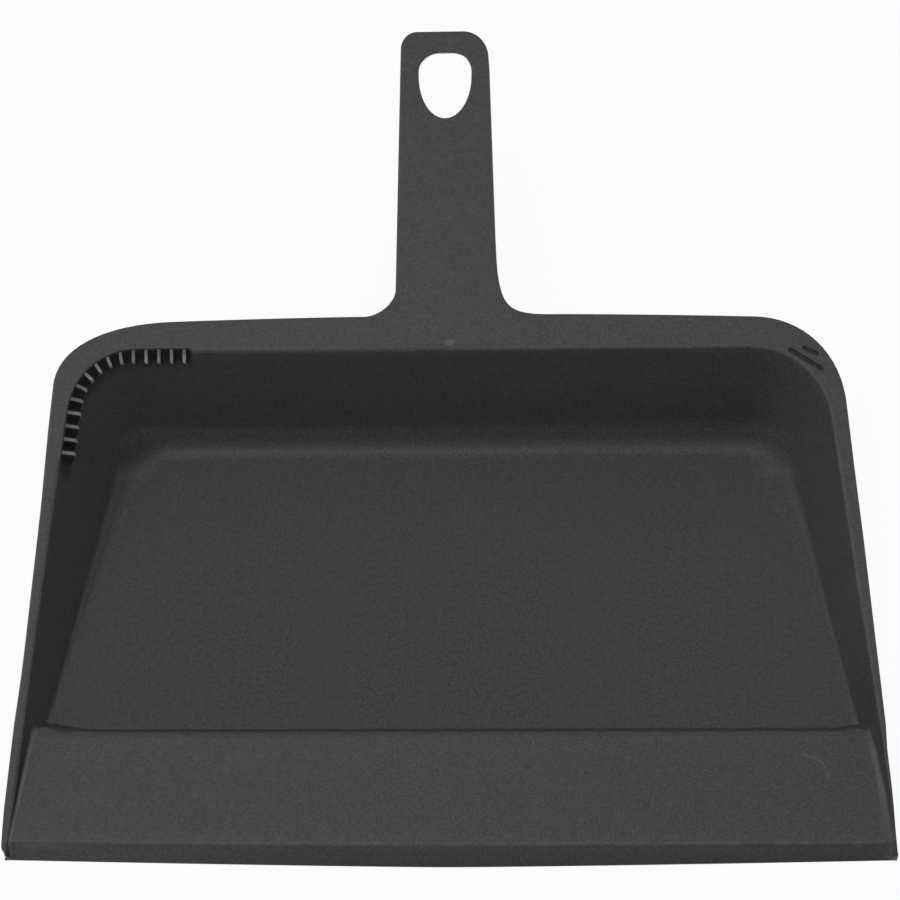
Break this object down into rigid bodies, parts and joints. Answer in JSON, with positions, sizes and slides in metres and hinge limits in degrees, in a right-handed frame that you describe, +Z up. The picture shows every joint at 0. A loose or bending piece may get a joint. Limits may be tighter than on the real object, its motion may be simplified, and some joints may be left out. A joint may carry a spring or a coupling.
{
  "type": "dustpan",
  "caption": "Wide hand dustpan with a bevelled lip, ramp and dust-stopping step, leaning walls, sloping rim, broom comb in one corner and a hollow flat handle with a hang hole.",
  "frame": {"origin": "centre of the bounding box in plan, on the ground", "axes": "+X to the pan's right seen from the lip, +Y from the lip back to the handle, +Z up"},
  "size_m": [0.3106, 0.276, 0.0978],
  "materials": {
    "plastic": "charcoal moulded plastic with a fine satin grain"
  },
  "bodies": {
    "root": {"floor_panel": "plastic", "front_lip": "plastic", "entry_ramp": "plastic", "ramp_riser": "plastic", "left_cheek": "plastic", "right_cheek": "plastic", "left_wall": "plastic", "right_wall": "plastic", "left_rear_corner": "plastic", "right_rear_corner": "plastic", "back_wall": "plastic", "left_rim": "plastic", "right_rim": "plastic", "left_corner_rim": "plastic", "right_corner_rim": "plastic", "back_rim": "plastic", "handle": "plastic", "hang_collar": "plastic", "handle_ribs": "plastic", "handle_gussets": "plastic", "broom_comb": "plastic"}
  },
  "joints": []
}
